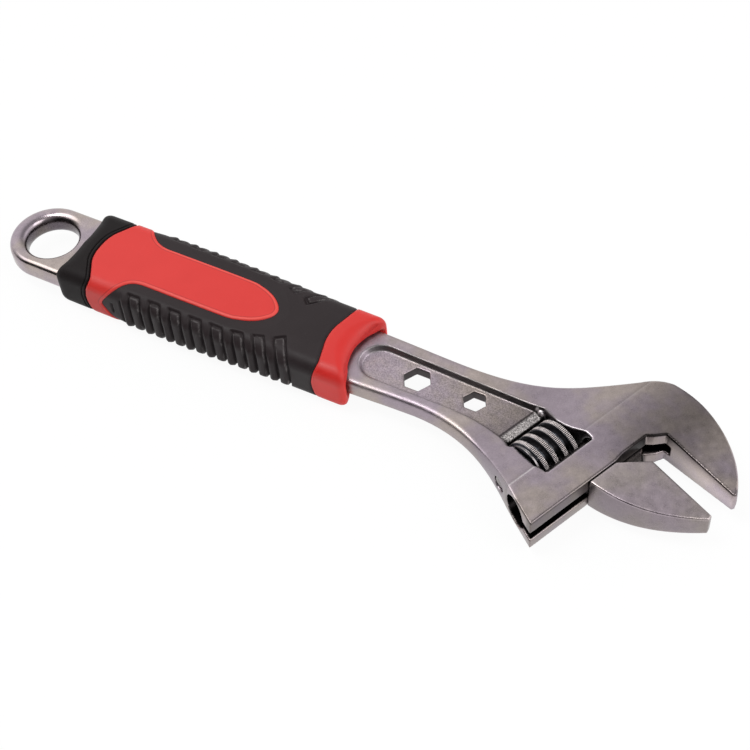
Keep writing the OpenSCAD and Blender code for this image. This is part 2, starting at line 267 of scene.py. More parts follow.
# these two in the head frame: the ledge in the throat, and the slot with its closed end
LEDGE = [[20, 12], [23.9, 14], [24.3, 16.7], [26.4, 19.5], [27.2, FIXED_FACE], [24, 24], [20, 24]]
SLOT_END = [[BORE_OUT, -60], [60, -60], [60, FIXED_FACE - 8], [29.4, FIXED_FACE - 8],
            [29.4, FIXED_FACE], [24, BORE_END], [BORE_OUT, BORE_END]]
BURR = np.array([handle_point(-5.9, 3.3) + (2.3,), handle_point(-3.6, 2.9) + (1.9,)])
BURR_R, BURR_WAVE = 0.58, 0.18


def half_height(out):
    """Half thickness along the out direction: the shank's rim, a slope that starts softly and
    ends at a crease, the flat head, and the taper of the jaws."""
    u = out - SLOPE_OUT
    ramp = np.where(u < -5, 0, np.where(u > 5, u, (u + 5) ** 2 / 20))
    rise = RIM_HALF + ramp * (HEAD_HALF - RIM_HALF) / (CREASE_OUT - SLOPE_OUT)
    taper = HEAD_HALF - (out - TAPER_OUT) * (HEAD_HALF - TIP_HALF) / (TIP_OUT - TAPER_OUT)
    return smaller(smaller(rise, HEAD_HALF, 0.12), taper, 0.3)


def forged_block(x, y, z):
    """The outline with its flanks leaning out to the mid-plane, between the two faces."""
    out = head_frame(x, y)[0]
    high = half_height(out)
    flank = plan_distance(BODY_OUTLINE, x, y) - 0.35 + 0.35 * np.clip(np.abs(z) / high, 0, 1) ** 2
    soft = np.interp(out, [-14, 4, 22], [1.0, 0.6, 0.28]) + 0.7 * fade(out, 0, -20) * (y < 0)
    return larger(flank, np.abs(z) - high, soft)


def recess(x, y, z):
    """The long hollow of the shank, on both faces: drafted walls round a flat web, which dips
    on its upper face in a ramp before the worm's window."""
    out = head_frame(x, y)[0]
    floor = WEB_HALF - np.maximum(0, (out + 5.7) * 0.43) * (z > 0)
    z = np.abs(z)
    wall = plan_distance(HOLLOW, x, y) - (z - WEB_HALF) * 0.68
    return larger(wall * 0.83, floor - z, 0.25)


def window_solid(x, y, z):
    """The worm's window, with a wall that stands closer to the worm in its lower half."""
    out = head_frame(x, y)[0]
    return np.maximum(plan_distance(WINDOW, x, y), np.where(z < 0.3, -2.65 - out, -9))


def bore_solid(out, shut, z):
    """The round channel for the jaw's rack."""
    return np.maximum(np.hypot(out - BORE_OUT, z) - BORE_R, shut - BORE_END)


def slot_solid(out, shut, z):
    """The slot for the jaw's neck, open on the slide face."""
    return np.maximum(np.abs(z) - SLOT_HALF, plan_distance(SLOT_END, out, shut))


def burr(x, y, z):
    """Curled edge that the window's cutter left: a thin rod along BURR, waved a little."""
    a, run = BURR[0], BURR[1] - BURR[0]
    z = np.abs(z)
    u = np.clip(((x - a[0]) * run[0] + (y - a[1]) * run[1] + (z - a[2]) * run[2])
                / (run @ run), 0, 1)
    return np.sqrt((x - a[0] - u * run[0]) ** 2 + (y - a[1] - u * run[1]) ** 2
                   + (z - a[2] - u * run[2]) ** 2) - (BURR_R + BURR_WAVE * np.sin(11 * u + 0.6))


def head_solid(x, y, z):
    """Shank and head: the block less its recesses, hex holes, window, guides and pin hole."""
    out, shut = head_frame(x, y)
    f = forged_block(x, y, z)
    f = smaller(f, np.maximum(plan_distance(LEDGE, out, shut), np.abs(z + 4) - 2.0), 0.05)
    f = larger(f, -recess(x, y, z), 0.22)
    for place in (HEX_LARGE, HEX_SMALL):
        f = larger(f, -hexagon(x, y, *place), 0.25)
    f = smaller(f, burr(x, y, z), 0.35)
    f = larger(f, -window_solid(x, y, z), 0.4)
    f = larger(f, -bore_solid(out, shut, z), 0.4)
    f = larger(f, -slot_solid(out, shut, z), 0.2)
    pin = np.hypot(out - WORM_OUT, z)
    f = larger(f, -np.maximum(pin - PIN_R - 0.03, shut - PIN_END - 0.15), 0.1)
    return larger(f, -np.maximum(pin - PIN_R - 0.5, shut - PIN_SEAT - 0.06), 0.3)


def past_hole(x, y):
    """Distance outside the hanging hole's wall."""
    return np.hypot(x - HOLE_X, y - HOLE_Y) - HOLE_R


def ring_solid(x, y, z):
    """Hanging ring and the block behind it: a disc joined to a bar, less the rounded hole."""
    bar = np.maximum(np.abs(y) - RING_R, np.abs(x - BAR_BACK / 2) - BAR_BACK / 2)
    plan = np.minimum(np.hypot(x, y) - RING_R, bar)
    f = larger(plan, np.abs(z) - RING_HALF, 2.6)
    return larger(f, -past_hole(x, y), 3.7)


# ---- the movable jaw, in the head frame ----

JAW_OUTLINE = np.concatenate([
    curve([SLIDE_OUT + 0.3, -5.5], [37, -3.9], [45.5, 1.8], [54.1, JAW_FACE - 1.5]),
    [[53.6, JAW_FACE], [31, JAW_FACE], [28.8, 10.2], [26.1, 6.5], [SLIDE_OUT + 0.3, 4.6]]])
NECK = [[BORE_OUT, -15.8], [18, -15.8], [23.7, -5.2], [26, -3.2], [30, -2], [30, 10.6],
        [23.6, 16.6], [BORE_OUT, 16.6]]


def jaw_rise(out, shut):
    """How far a point lies towards the closing face, less the lean of the jaw's back."""
    return shut - 0.22 * (out - 24)


def jaw_solid(x, y, z):
    """Jaw, neck and toothed rack bar: the outline between its faces, the neck's plate, and a
    round bar with gaps cut across it that lean with the worm's thread."""
    out, shut = head_frame(x, y)
    high = half_height(out)
    flank = plan_distance(JAW_OUTLINE, out, shut) - 0.3 * (1 - (z / high) ** 2) * fade(
        jaw_rise(out, shut), 6, 2)
    f = larger(flank, np.abs(z) - high, 0.55)
    neck = larger(plan_distance(NECK, out, shut), np.abs(z) - NECK_HALF, 0.2)
    bar = larger(np.hypot(out - BORE_OUT, z) - RACK_R, np.abs(shut - RACK_MIDDLE) - RACK_HALF, 0.5)
    lean = PITCH / (2 * pi * (WORM_R - 1.2))
    along = shut - THREAD_TOP - PITCH / 4 + z * lean
    from_gap = np.abs((along + PITCH / 2) % PITCH - PITCH / 2)
    half_gap = np.interp(out, [BORE_OUT - RACK_R, RACK_FLAT], [PITCH / 2 - 0.36, PITCH / 2 - 0.95])
    gaps = larger(from_gap - half_gap, out - RACK_FLAT, 0.3)
    bar = larger(bar, -gaps, 0.2)
    return smaller(smaller(f, neck, 0.08), bar, 0.2)


# ---- the grip ----

# half width, half thickness and corner radius of the grip, each as (place along it, value)
WIDE, CORNER = 15.3, 4.3  # the half width and corner where the pads are
GRIP_HALF = [[12, WIDE], [60, WIDE], [80, 14.85], [95, 14.5], [122, 14.4]]
GRIP_THICK = [[12, 8.2], [90, 8.3], [122, 8.1]]
GRIP_ROUND = [[12, CORNER], [60, CORNER], [122, 4.6]]
RIB_PITCH = 7.67  # two ribs: one inside a pad's groove, one between pads
PAD_FIRST, PAD_COUNT, PAD_HALF = 44.4, 8, 2.0
PAD_TOP = [13.5, 13.3, 13.2, 13.0, 12.8, 12.1, 10.5, 8.2]
PAD_TILT = [0, 0, 0, 0, 0, -0.15, -0.28, -0.48]
PAD_LEAN, BETWEEN_HALF = 0.575, 1.25
FAR_LEAN = [0.575, 0.575, 0.575, 0.575, 0.6, 0.65, 0.8, 0.98]
SMALL_RIBS = ((38.6, 17.0), (34.9, 20.0))
# ends of the core's rows before they are bent to its edges, and a hundredth of their run
CORE_BACK, CORE_FRONT, CORE_STEP = 21, 120.5, 0.995
COLLAR = 95  # the red past here is the front collar
SLEEVE_ENDS, SLEEVE_IN = [27, 109.9], -1.7
BEAD_GROOVE = 1.55  # how far behind the red the band's first groove lies

# where the mouldings end: (place along the handle, distance round the section from the middle)
BAND_REAR = [[14.0, 0], [14.2, 4], [14.0, 8], [13.8, 11], [13.4, 14], [12.9, 17], [12.8, 22]]
RED_REAR = [[21.4, 0], [21.6, 3], [22.4, 6], [23.8, 8.5], [25.3, 11], [26.1, 12.7],
            [26.2, 14.2], [25.8, 16], [25.0, 18.5], [24.5, 21], [24.4, 23]]
COLLAR_REAR = [[106.8, 0], [107.1, 3], [107.9, 6], [108.7, 9], [109.2, 11], [109.1, 13],
               [108.5, 16], [107.8, 19], [107.5, 23]]
COLLAR_LIP = [[115.2, 0], [115.5, 3], [116.1, 6], [116.9, 9], [117.9, 11.5], [118.7, 14],
              [119.1, 17], [119.2, 20], [119.2, 24]]
NEAR_LOBE = [[30.3, 24], [30.5, 22], [31.3, 20.2], [32.9, 18], [34.4, 16],
             [35.9, 14], [37.3, 12], [38.3, 10.6], [39.9, 9.3], [42.2, 8.55]]
FAR_LOBE = [[28.3, 24], [28.5, 22], [29.2, 20.2], [30.5, 18], [31.7, 16],
            [33.1, 14], [34.6, 12], [36.3, 10.4], [38.6, 9.1], [41.6, 8.4]]
TONGUE_EDGE = [[46, 8.35], [60, 8.35], [74.4, 8.2], [78.4, 7.55], [81.6, 6.55], [84.4, 5.1],
               [86.5, 3.3], [87.8, 1.6], [88.2, 0]]


def line(points, t):
    """A smooth line through (place, across) points, read at t: a cubic through each pair, with
    the slope of its neighbours at both ends."""
    v, s = np.array(points, float).T
    slope = np.gradient(v, s)
    i = np.clip(np.searchsorted(s, t) - 1, 0, len(s) - 2)
    gap = s[i + 1] - s[i]
    u = np.clip((t - s[i]) / gap, 0, 1)
    return (v[i] * (1 - u) ** 2 * (1 + 2 * u) + v[i + 1] * u * u * (3 - 2 * u)
            + gap * u * (1 - u) * (slope[i] * (1 - u) - slope[i + 1] * u))


def tongue_outline(lobe):
    """Outline of the red that lies between the two black sides: a lobe, an edge and the tip."""
    side = np.array(lobe + TONGUE_EDGE)
    step = np.arange(len(side))
    fine = np.linspace(0, len(side) - 1, 120)
    side = np.stack([line(np.stack([side[:, i], step], 1), fine) for i in (0, 1)], 1)
    return np.concatenate([[[5, 60], [30.3, 60]], side, (side * [1, -1])[::-1][1:60],
                           [[5, -8.3]]])


# the near side and the far side: the tongue's outline and the lean of each pad
SIDES = ((tongue_outline(NEAR_LOBE), [PAD_LEAN] * PAD_COUNT),
         (tongue_outline(FAR_LOBE), FAR_LEAN))


def rounded(share, w, h, r):
    """A quarter of a rounded box across the handle, slightly crowned: share runs from the
    middle of the top, round the corner, to the middle of the side. Returns the place, the
    outward direction and the distance run."""
    top, bend = w - r, r * pi / 2
    t = share * (top + bend + h - r)
    turn = np.clip((t - top) / r, 0, pi / 2)
    y = np.minimum(t, top) + r * np.sin(turn)
    z = h - r + r * np.cos(turn) - np.maximum(t - top - bend, 0)
    crown = 0.22 * (y / w) ** 2
    return y, z - crown * np.cos(turn), np.sin(turn), np.cos(turn), t


def section(x, share):
    """The grip's own quarter section at x."""
    return rounded(share, *(np.interp(x, *np.array(table, float).T)
                            for table in (GRIP_HALF, GRIP_THICK, GRIP_ROUND)))


def lifted(x, share, height):
    """Points that stand a height outside the grip's section."""
    y, z, ny, nz, _ = section(x, share)
    return x, y + ny * height, z + nz * height


def inner(x, share, half, thick, corner):
    """Points of an inside section with a size of its own."""
    return (x, *rounded(share, half, thick, corner)[:2])


def stack_rows(parts):
    """Rows of x, y and z arrays, one block after another."""
    return np.concatenate([np.stack(np.broadcast_arrays(*p)) for p in parts], 1)


def all_round(near, far):
    """Values of a near and a far quarter, carried round all four: from the top down the near
    side, and back up the far side."""
    a, b = slice(0, -1), slice(-1, 0, -1)
    return np.concatenate([near[:, a], near[:, b], far[:, a], far[:, b]], 1)


def tube(near, far):
    """Points of rows that run right round: a quarter on each side, mirrored below."""
    (x, y, z), (u, v, w) = near, far
    way = np.repeat([1, -1, -1, 1], x.shape[1] - 1)
    return np.stack([all_round(x, u), all_round(-y, v), all_round(z, w) * way], -1)


def roll_off(d, length, drop):
    """How far a rolled edge lies under its face at a distance d from its end: a quarter of an
    ellipse."""
    u = np.clip(1 - d / length, 0, 1)
    return drop * (1 - np.sqrt(np.maximum(1 - u * u, 0)))


def groove(d, half, depth):
    """A round-bottomed groove: depth times 1 - (d / half)^2 to the power 1.5, within half."""
    return depth * np.maximum(1 - (d / half) ** 2, 0) ** 1.5


def steep(d, low):
    """A wall that drops 2 for 1 where d is negative, down to low."""
    return np.maximum(np.minimum(2 * d, 0), low)


def red_height(x, t, tongue):
    """Height of the red over the grip's section: the rear zone and tongue with their sloping
    border, and the collar, and under the black sleeve a level well below both. Also how far
    inside the tongue's outline each point lies."""
    edge = -plan_distance(tongue, x, t)
    border = np.interp(x, [36, 43], [0.5, 1.05])
    up = np.clip(edge / border, 0, 1)
    main = -0.3 + 0.62 * up ** 0.8 - groove(edge - border - 0.06, 0.22, 0.07) + steep(edge, -2)
    main = main - np.interp(x, [34, 44], [0.25, 0]) * up
    main = np.minimum(main, 0.1 - roll_off(x - line(RED_REAR, t), 1.0, 0.6))
    back = x - line(COLLAR_REAR, t)
    collar = 0.08 - roll_off(back, 0.9, 0.6) + steep(back, -2)
    return np.maximum(np.where(x < COLLAR, main, collar), -2), edge


def rib_height(x, t, leans):
    """Height of the sleeve's side: pads outlined by a groove like an upside-down U, a low rib
    in each and one between each two, all leaning forward over the edge. Also the pads' rims,
    which take a painted highlight."""
    height, rim = np.zeros_like(x), np.zeros_like(x)
    flat = WIDE - CORNER
    bend = np.clip((t - flat) / CORNER, 0, pi / 2)
    inward = WIDE - np.minimum(t, flat) - CORNER * np.sin(bend)
    side = 0.5 + 0.5 * np.tanh((t - 15.5) / 1.2)
    for k in range(PAD_COUNT):
        start = PAD_FIRST + RIB_PITCH * k + (leans[k] - PAD_LEAN) * (WIDE - PAD_TOP[k])
        across = x - (start - leans[k] * inward)
        down = t - PAD_TOP[k] - PAD_TILT[k] * across
        d = larger(np.abs(across) - PAD_HALF, -down, 0.5)
        height -= groove(d, 0.58, 0.85)
        # the rims' mask carries a painted highlight on the rubber
        rim = np.maximum(rim, np.exp(-((d + 0.6) / 0.14) ** 2) * fade(t, 20.5, 17.5)
                         * (0.4 + 0.6 * fade(down, 0.5, 1.4)))
        inside = np.clip(-(d + 0.45) / 0.5, 0, 1)
        height += inside * side * 0.7 * (1 - (across / 2.2) ** 2)
        between = np.clip(1 - np.abs(across + RIB_PITCH / 2) / BETWEEN_HALF, 0, 1)
        height += side * between ** 0.5
    for place, top in SMALL_RIBS:
        d = larger(np.abs(x - place), top - t, 0.5)
        height -= groove(np.maximum(d, 0), 0.6, 0.8)
    return height, rim


def black_height(x, t, tongue, leans):
    """Height of the black sleeve: a little under the red beside the tongue, with ribs on its
    sides, and below the red everywhere else. Also the pads' rims."""
    edge = plan_distance(tongue, x, t)
    front = line(COLLAR_REAR, t) - x
    ribs, rim = rib_height(x, t, leans)
    height = -0.3 + 0.3 * np.clip(edge / 3.5, 0, 1) + ribs
    height = height - roll_off(front, 0.8, 0.45)
    return np.maximum(height + steep(edge, -1) + steep(front, -1), -1.3), rim


def quarter_shares(count, near, width, boost):
    """Shares of the quarter, closer together round one place."""
    u = np.linspace(0, 1, 600)
    density = 1 + boost * np.exp(-((u - near) / width) ** 2)
    total = np.concatenate([[0], np.cumsum((density[1:] + density[:-1]) / 2)])
    return np.interp(np.linspace(0, total[-1], count + 1), total, u)[None, :]


SHARES = quarter_shares(60, 0.39, 0.06, 1.5)  # closer together round the tongue's edge


def make_sleeve():
    """Black sleeve: outer rows along the handle, then two rows back inside."""
    x = np.concatenate([np.linspace(*SLEEVE_ENDS, 376), SLEEVE_ENDS[::-1]])[:, None] + 0 * SHARES
    t = section(x, SHARES)[4]
    sides, rims = [], []
    for tongue, leans in SIDES:
        height, rim = black_height(x, t, tongue, leans)
        height[-2:] = SLEEVE_IN
        sides.append(lifted(x, SHARES, height))
        rims.append(rim)
    return tube(*sides), {"rim": all_round(*rims)}


def make_core():
    """Red core: outer rows that follow its rear edge and its lip, the lip, the mouth round the
    shank, and the rows back inside. Also the distance of each point from the black."""
    along = np.concatenate([np.linspace(0, 3, 14) ** 1.4 / 3 ** 0.4, np.linspace(3.25, 26, 84),
                            np.linspace(26.5, 50, 34), np.linspace(50.5, 68, 60),
                            np.linspace(69, 83.5, 12), np.linspace(83.75, 93.5, 44),
                            100 - 6.2 * (1 - np.linspace(0, 1, 26)) ** 1.6])[:, None]
    t0 = section(60.0, SHARES)[4]
    start, lip = line(RED_REAR, t0), line(COLLAR_LIP, t0)
    outer = CORE_BACK + along * CORE_STEP
    outer = outer + (start - CORE_BACK) * np.clip(1 - along / 12, 0, 1) ** 1.5
    outer = outer + (lip - CORE_FRONT) * np.clip((along - 88) / 12, 0, 1) ** 1.3
    t = section(outer, SHARES)[4]
    corner = fade(t0, 4, 13)
    sides, edges = [], []
    for tongue, _ in SIDES:
        height, edge = red_height(outer, t, tongue)
        height = height - roll_off(lip - outer, 5.2 - 2.8 * corner, 3.3 - 1.6 * corner)
        rows = [lifted(outer, SHARES, height)]
        face = stack_rows(rows)[:, -1:]
        mouth = stack_rows([inner(lip - 0.4, SHARES, 12.3, 4.5, 2.6)])
        for u in (0.25, 0.6, 0.85, 1.0):
            step = face * (1 - u) + mouth * u
            step[0] = face[0] * (1 - u ** 3) + mouth[0] * u ** 3
            rows.append(step)
        # how far back from the lip, and the half width, half thickness and corner there
        rows += [inner(lip - 0.4 - back, SHARES, *size)
                 for back, *size in ((1.2, 11.9, 4.2, 2.4), (2.5, 11.5, 4.0, 2.1),
                                     (4, 11.2, 3.8, 1.8), (6, 11, 3.6, 1.6))]
        rows.append(inner(start + 0.4, SHARES, 10.6, 3.5, 1.2))
        sides.append(stack_rows(rows))
        inside = np.full((sides[-1].shape[1] - len(edge), edge.shape[1]), 9.0)
        edges.append(np.concatenate([edge, inside]))
    return tube(*sides), {"edge": all_round(*edges)}


def make_band():
    """Rear band: rolled rear lip, smooth face, a thin bead between two grooves before the red."""
    shares = quarter_shares(44, 0.6, 0.2, 0.6)
    t = section(18.0, shares)[4]
    rear, red = line(BAND_REAR, t), line(RED_REAR, t)
    front = red + 0.35
    # the last third holds the bead, so most of the rows lie there
    u = np.concatenate([np.linspace(0, 1, 26) ** 1.6 * 0.7,
                        0.7 + 0.3 * np.linspace(0.04, 1, 40)])[:, None]
    x = rear + (front - rear) * u
    side = np.clip((t - 9) / 7, 0, 1)
    height = -roll_off(x - rear, 4.6 - 1.6 * side, 3.1 - 1.2 * side)
    height = (height - groove(red - x - BEAD_GROOVE, 0.28, 0.45) - groove(red - x, 0.75, 0.95)
              - 0.12 * (red - x < BEAD_GROOVE))
    rows = stack_rows([lifted(x, shares, height), inner(front, shares, 13.2, 6.4, 3.0),
                       inner(rear + 1.5, shares, 13.2, 3.4, 1.2),
                       inner(rear, shares, 13.3, 3.5, 1.2)])
    return tube(rows, rows)


# ---- the worm, its pin and its spring ----

KNURLS, KNURL_DEPTH = 88, 0.34
FLANGE_R, CHAMFER = 6.3, 0.15
SPRING_R, WIRE, TURNS, SPRING_TOP = 2.8, 0.25, 5, 2.75


def around(count):
    """Angles of a full turn, as one row."""
    return np.linspace(0, 2 * pi, count, endpoint=False)[None, :]


def turned(shut, a, r):
    """Points at a radius r and an angle a round the worm's axis, at a place along it."""
    x, y = handle_point(WORM_OUT + r * np.cos(a), shut)
    return np.stack(np.broadcast_arrays(x, y, r * np.sin(a)), -1)


def make_worm():
    """Worm: a radius for each place along it and each angle round it. It is the crest's where
    the distance q from the thread's helix is small, falls down the flank to the root, and is
    notched across the crest. The rows then run over the end, down the spring's seat and back
    through the bore. Also how near each point is to a crest, how deep in a notch, and how
    much painted highlight its flank takes."""
    low, high = WORM_LOW, WORM_LOW + WORM_LEN
    a = around(528)
    s = np.linspace(low + 0.12, high - 0.12, 141)[:, None]
    q = (s - THREAD_TOP + PITCH * (a / (2 * pi) - 0.25) + PITCH / 2) % PITCH - PITCH / 2
    rise = np.clip((1.35 - np.abs(q)) / 0.62, 0, 1)
    r = THREAD_ROOT + (WORM_R - THREAD_ROOT) * rise
    crest = np.clip((0.7 - np.abs(q)) / 0.1, 0, 1)
    notch = (0.5 + 0.5 * np.cos(KNURLS * a)) * crest
    r = r - KNURL_DEPTH * notch
    flange = FLANGE_R - 1.6 * np.clip((s - low - 0.75) / 0.25, 0, 1)
    rim = (flange > r) & (s < low + 1.2)
    r = np.maximum(r, flange)
    ends = [(high, r[-1:] - CHAMFER), (high, 0.5 * r[-1:] + 1.75), (high, 3.6), (high - 0.1, 3.5),
            (high - 2, 3.5), (high - 4, 3.5), (high - 4, 2.2), (high - 6, 2.12),
            (low + 0.2, 2.12), (low, 2.3), (low, 3.2), (low, 4.5), (low, r[:1] - CHAMFER)]
    rows = [turned(s, a, r)] + [turned(place, a, radius) for place, radius in ends]
    crest = np.maximum(crest, np.where(rim, 0.3, 0))
    # the flank mask is a painted highlight on one side of the thread
    masks = {"crest": crest, "notch": notch, "flank": np.clip(q / 1.2, 0, 1) * (crest < 0.1)}
    plain = np.zeros((len(ends), a.size))
    return np.concatenate(rows), {k: np.concatenate([m, plain]) for k, m in masks.items()}


def make_pin():
    """Pin: a head with a rolled edge and a dimple, a long shank and a chamfered tip, turned
    from (place, radius) points."""
    low, seat, end, r, head_r = PIN_LOW, PIN_SEAT, PIN_END, PIN_R, PIN_HEAD_R
    profile = [(low + 0.5, 0.001), (low + 0.45, 0.7), (low + 0.12, 1.2), (low, 1.6),
               (low + 0.04, head_r - 0.4), (low + 0.2, head_r - 0.08), (low + 0.45, head_r),
               (seat - 0.09, head_r), (seat - 0.01, head_r - 0.1), (seat, r), (-12, r), (4, r),
               (end - 0.55, r), (end - 0.05, r - 0.5), (end, 0.8), (end, 0.001)]
    place, r = np.array(profile).T[:, :, None]
    return turned(place, around(48), r)


def make_spring():
    """Coil spring: a round wire along a helix, with its end turns closed up flat."""
    u = np.linspace(0, 1, TURNS * 40 + 1)[:, None]
    low, high = WORM_LOW + WORM_LEN - 3.65, SPRING_TOP
    s = low + (high - low) * np.interp(u, [0, 0.17, 0.83, 1], [0, 0.07, 0.93, 1])
    b = around(12)
    thick = WIRE * np.minimum(1, np.minimum(u, 1 - u) * 300 + 0.01)
    return turned(s + thick * np.sin(b), 2 * pi * TURNS * u, SPRING_R + thick * np.cos(b))


# ---- masks on the forgings ----


def near(distance, none, full):
    """1 within the distance full of a surface, 0 beyond the distance none."""
    return fade(np.abs(distance), none, full)


def edge_rounding(solid, points, step):
    """How much an edge is rounded: the smooth solid's mean value a step off the point along
    six directions. Outer edges give +, corners -."""
    mean = sum(a + b for a, b in beside(solid, points, step)) / 6
    return np.clip(mean / (0.25 * step), -1, 1)


def head_masks(points):
    """For each point of the shank and head: how far it is an edge, lightened as scuffed and
    partly as a painted highlight, which also lies on the crease, the window's end and the
    burr; the grainy floor of the recess; the cut face of the ramp; painted shadow in a hole,
    window or guide; painted shade on the recess's far wall; and painted shading that darkens or
    lightens its tone."""
    x, y, z = points.T
    out, shut = head_frame(x, y)
    side = plan_distance(BODY_OUTLINE, x, y)
    below_face = half_height(out) - np.abs(z)
    window = window_solid(x, y, z)
    hollow = recess(x, y, z)
    hexes = np.minimum(*(np.abs(hexagon(x, y, *place)) for place in (HEX_LARGE, HEX_SMALL)))

    ramp_end = near(window, 0.5, 0.3) * fade(out, -1.6, -2.4) * fade(shut, 2.6, 2.0)
    # painted highlight on the burr's curl, which also clears the other masks there
    burr_highlight = near(burr(x, y, z), 0.35, 0.08)
    machined = fade(out, 14.8, 16.2)
    # edges lightened as scuffed and partly as a painted highlight
    edge = edge_rounding(head_solid, points, 0.33) * (1 - machined) * (1 - ramp_end)
    # painted highlight along the window's upper end
    edge = edge * (1 + 0.3 * near(window, 1.0, 0.4) * fade(shut, 1.5, 3.0))
    # painted highlight along the crease where the slope meets the flat head
    crease = near(out - CREASE_OUT + 0.05, 0.5, 0.1) * fade(below_face, 0.3, 0.1)
    edge = np.maximum.reduce([edge, burr_highlight, (0.36 + 0.24 * fade(shut, 4, -8)) * crease])
    edge = edge * (1 - 0.8 * fade(hexes, 0.7, 0.35))

    low = near(hollow, 0.5, 0.12) * near(z, WEB_HALF + 0.35, WEB_HALF + 0.05)
    ramp = low * fade(out, -5.9, -5.6) * (shut > -13)
    # painted shade on the recess's far wall and the fillet at its foot
    wall = (0.85 * near(hollow, 0.4, 0.15) * near(z, WEB_HALF + 0.005, WEB_HALF + 0.04)
            * fade(y, 1, 3.5))

    # painted shadow in the hex holes, the window and the guides
    in_hex = fade(hexes, 0.3, 0.1) * near(z, WEB_HALF, WEB_HALF - 0.25)
    in_window = near(window, 0.3, 0.08) * fade(below_face, 0.2, 0.6) * (1 - 0.3 * fade(z, 1, 4))
    guides = np.minimum(np.abs(bore_solid(out, shut, z)), np.abs(slot_solid(out, shut, z)))
    in_guide = (fade(guides, 0.3, 0.1) * fade(side, -0.05, -0.3)
                * (1 - fade(shut, 10, 12) * fade(z, -1.6, -2.2)))
    dark = np.maximum.reduce([in_hex, in_window, in_guide])

    # painted shading: darker where shade falls or glints show; lighter on fixed jaw face, throat
    upper = fade(shut, -2, 18) * (fade(out, 6, 24) - 0.95 * fade(out, 27, 44))
    slope = fade(out, -16, -6) * fade(out, 11.2, 10.4)
    shade_above_crease = fade(out, 8.9, 10.4) * fade(out, CREASE_OUT, CREASE_OUT - 0.2)
    gutter_shade = low * near(out + 6.1, 0.5, 0.15) * fade(shut, -13, -12)
    flank = fade(side, -0.7, -0.25) * fade(below_face, 0.25, 0.7)
    face = flank * fade(out, 21.5, 23)
    slide = face * fade(shut, 17.6, 16.8)
    throat = face * fade(shut, 16.8, 17.6) * fade(shut, 22.2, 21.8)
    grip_face = flank * fade(shut, 21.2, 22.0) * fade(out, 25, 27) * (shut < 23.2)
    corner = np.maximum(np.abs(side), below_face)
    # painted shade over the glint on the machined corners of the jaw end
    shading_paint = machined * fade(corner, 0.8, 0.4) * fade(z, -1.5, -0.5) * fade(shut, 24.8, 24.0)
    tarnish = (0.45 * gutter_shade + 0.47 * upper + 0.15 * slope + 0.1 * shade_above_crease + 0.55 * shading_paint
               + 0.26 * low * fade(x, 122, 172) + 0.14 * flank * fade(x, 150, 176)
               + slide * np.where(z > 0, 0.4 + 0.2 * fade(shut, -20, 8), 0.16)
               - grip_face * (0.05 + 0.22 * fade(out, 30, 46)) - 0.4 * throat
               + 0.6 * in_guide + 0.85 * ramp_end)
    clear = 1 - burr_highlight
    return {"edge": edge, "low": low * clear, "ramp": ramp * clear, "dark": dark * clear,
            "wall": wall * clear, "tarnish": np.minimum(tarnish, 0.95) * clear - 0.3 * burr_highlight}


def ring_masks(points):
    """For each point of the hanging ring: the grainy rim of its hole, and painted shade
    that darkens it.
    """
    gap = past_hole(points[:, 0], points[:, 1])
    return {"low": fade(gap, 0.9, 0.4), "tarnish": 0.66 * fade(gap, 1.1, 0.5)}


def jaw_masks(points):
    """For each point of the jaw: its edges, lightened as scuffed and partly as a painted
    highlight; the neck; painted shadow on the neck, the rack and the back against the slide
    face; and painted shading that darkens its flank, its neck and its flat edges."""
    x, y, z = points.T
    out, shut = head_frame(x, y)
    neck = near(z, 2.2, 1.6) * fade(plan_distance(JAW_OUTLINE, out, shut), 0.4, 0.6)
    back = fade(out, SLIDE_OUT + 0.75, SLIDE_OUT + 0.55)
    wear_and_glint = edge_rounding(jaw_solid, points, 0.3)
    curved = fade(jaw_rise(out, shut), 8.2, 6.5)
    flank = fade(half_height(out) - np.abs(z), 0.3, 0.8) * fade(out, SLIDE_OUT, SLIDE_OUT + 1)
    # edges partly a painted highlight; painted shadow on back and neck; painted shade on flank
    return {"edge": 0.6 * wear_and_glint * curved, "low": neck,
            "dark": np.maximum(back * (1 - neck), neck * fade(out, 24.4, 23.4)),
            "tarnish": (flank * (0.37 + 0.07 * fade(out, 50, 28)) + 0.3 * neck
                        + 0.5 * (1 - curved) * fade(wear_and_glint, 0.05, 0.4))}


# ---- the pieces ----

sleeve = grid_piece("black_sleeve", *make_sleeve(), "handle", "black_rubber", "grip_sleeve")
core = grid_piece("red_core", *make_core(), "handle", "red_plastic", "grip_core")
band = grid_piece("rear_band", make_band(), {}, "handle", "black_rubber", "grip_rear_band")
head = net_piece("shank_and_head", head_solid, (110, -36, -6.8), (239, 30, 6.8), 0.38,
                 head_masks, "handle", "wrench_body")
ring = net_piece("hanging_ring", ring_solid, (-15, -15, -5), (18.5, 15, 5), 0.36,
                 ring_masks, "handle", "wrench_body")
jaw = net_piece("lower_jaw", jaw_solid, (180, -25, -6.8), (235, 14, 6.8), 0.33,
                jaw_masks, "jaw", "movable_jaw")
worm = grid_piece("knurled_worm", *make_worm(), "worm", "worm_steel", "adjusting_worm")
pin = grid_piece("pin", make_pin(), {}, "handle", "pin_steel", "worm_pin", closed=False)
spring = grid_piece("coil_spring", make_spring(), {}, "handle", "spring_steel", "worm_spring",
                    closed=False)

# ---- finishes ----


def give(made, inputs):
    """A node's inputs set to values or joined to sockets."""
    for key, value in inputs.items():
        if isinstance(value, bpy.types.NodeSocket):
            made.id_data.links.new(value, made.inputs[key])
        else:
            made.inputs[key].default_value = value


